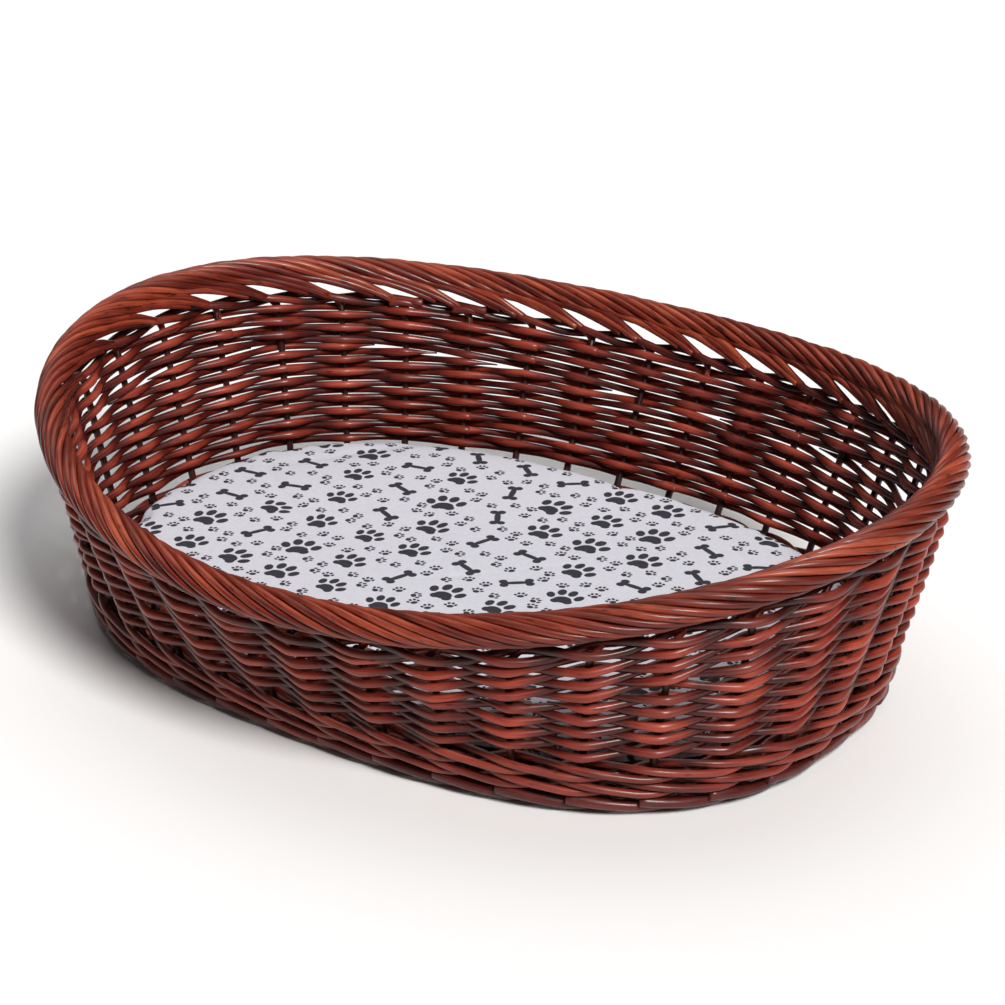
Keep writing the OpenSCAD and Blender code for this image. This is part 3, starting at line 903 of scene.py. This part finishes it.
# faint creases run over the top, and the seam draws the edge in small puckers
crease = np.zeros(len(co))
for _ in range(CREASES):
    a = rng.uniform(0.4, 1.1) * rng.choice([-1, 1], p=[0.25, 0.75])
    px, py = rng.uniform(-0.25, 0.25), rng.uniform(-0.16, 0.14)
    across = (co[:, 0] - px) * math.sin(a) + (co[:, 1] - py) * math.cos(a)
    along = (co[:, 0] - px) * math.cos(a) - (co[:, 1] - py) * math.sin(a)
    across += 0.006 * np.sin(along * rng.uniform(15, 30) + rng.uniform(0, 6))
    crease += rng.uniform(-0.0016, 0.0016) * np.exp(-(across / rng.uniform(0.004, 0.009)) ** 2) \
        * np.exp(-(along / rng.uniform(0.05, 0.12)) ** 2)
way = np.arctan2((co[:, 1] + FOOT_SHIFT) / FOOT_B, co[:, 0] / FOOT_A)
pucker = sum(np.sin(way * w + rng.uniform(0, 6.28)) for w in (61, 83, 107)) / 3
near_seam = np.exp(-(np.abs(co[:, 2] - SEAM_Z) / 0.008) ** 2) * smooth(1 - inside / 0.03)
rim_zone = smooth(1 - inside / 0.035)
top = co[:, 2] > SEAM_Z
co[:, 2] += np.where(top, 1, 0) * (crease + 0.0009 * np.sin(co[:, 0] * 21 + 1) * np.sin(co[:, 1] * 26 + 2))
co[:, 2] += np.where(top, 1, -1) * rim_zone * 0.0009 * pucker * (1 - near_seam)
co[:, :2] -= facing * ((0.0022 + 0.0007 * pucker) * near_seam)[:, None]
co[:, 2] = np.clip(co[:, 2], PAD_LOW + 0.0004, PAD_HIGH + 0.003)
inside, facing = edge_distance(co)
co[:, :2] -= facing * np.maximum(0.0005 - inside, 0)[:, None]
put_points(cover, co)
# The cloth's own flat coordinates, for the print: the top's run on down the side, and the bottom is a second
# piece of cloth.
inside, facing = edge_distance(co)
drop = np.where(top, co[:, 2].max() - co[:, 2], co[:, 2] - PAD_LOW) * smooth(1 - inside / 0.03)
flat_x = co[:, 0] + facing[:, 0] * drop + np.where(top, 0, 3.0)
flat_y = co[:, 1] + facing[:, 1] * drop
flat = np.stack([flat_x, flat_y, 0 * drop], -1).astype(np.float32)
cover.data.attributes.new("cloth", "FLOAT_VECTOR", "POINT").data.foreach_set("vector", flat.ravel())
cover.data.shade_smooth()
cover.data.materials.clear()
cover.data.materials.append(MATERIALS["cotton_print"])
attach(cover, "cushion")
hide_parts("cushion_cover_top", "cushion_cover_bottom")

filling = pad("cushion_wadding", WADDING_INSET, PAD_LOW + 0.011, PAD_HIGH - 0.011)
remeshed(filling, 0.006)
co = points_of(filling)
lumps = 0.0012 * np.sin(co[:, 0] * 55) * np.sin(co[:, 1] * 60 + 1)
co[:, 2] += lumps + 0.0008 * np.sin(co[:, 0] * 140 + co[:, 1] * 90)
put_points(filling, co)
filling.data.shade_smooth()
filling.data.materials.append(MATERIALS["wadding"])
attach(filling, "cushion")
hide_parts("cushion_filling")

# ---------------------------------------------------------------- floor and light
FLOOR = 9.0
floor = mesh_object("floor", [(x * FLOOR, y * FLOOR, 0) for x, y in ((-1, -1), (1, -1), (1, 1), (-1, 1))],
                    [(0, 1, 2, 3)])
paper = Nodes("pale_floor")
floor.data.materials.append(paper.finish(Base_Color=(0.9, 0.9, 0.9, 1), Roughness=0.9))


def lamp(name, direction, energy, angle, color):
    """A broad distant lamp that shines from the given direction."""
    light = bpy.data.objects.new(name, bpy.data.lights.new(name, "SUN"))
    light.data.energy = energy
    light.data.angle = math.radians(angle)
    light.data.color = color
    light.rotation_euler = (-Vector(direction)).to_track_quat("-Z", "Y").to_euler()
    bpy.context.scene.collection.objects.link(light)


lamp("key", (0.62, -0.30, 0.72), 3.6, 18, (1.0, 0.98, 0.96))
lamp("top", (-0.25, 0.35, 0.90), 1.0, 60, (1.0, 1.0, 1.0))
world = bpy.data.worlds.new("studio")
bpy.context.scene.world = world
world.use_nodes = True
sky = world.node_tree
seen = sky.nodes.new("ShaderNodeLightPath")
level = sky.nodes.new("ShaderNodeMapRange")
level.inputs["To Min"].default_value, level.inputs["To Max"].default_value = 0.07, 1.0
sky.links.new(seen.outputs["Is Camera Ray"], level.inputs["Value"])
sky.nodes["Background"].inputs[0].default_value = (1, 1, 1, 1)
sky.links.new(level.outputs[0], sky.nodes["Background"].inputs[1])
bpy.context.scene.view_settings.view_transform = "Standard"
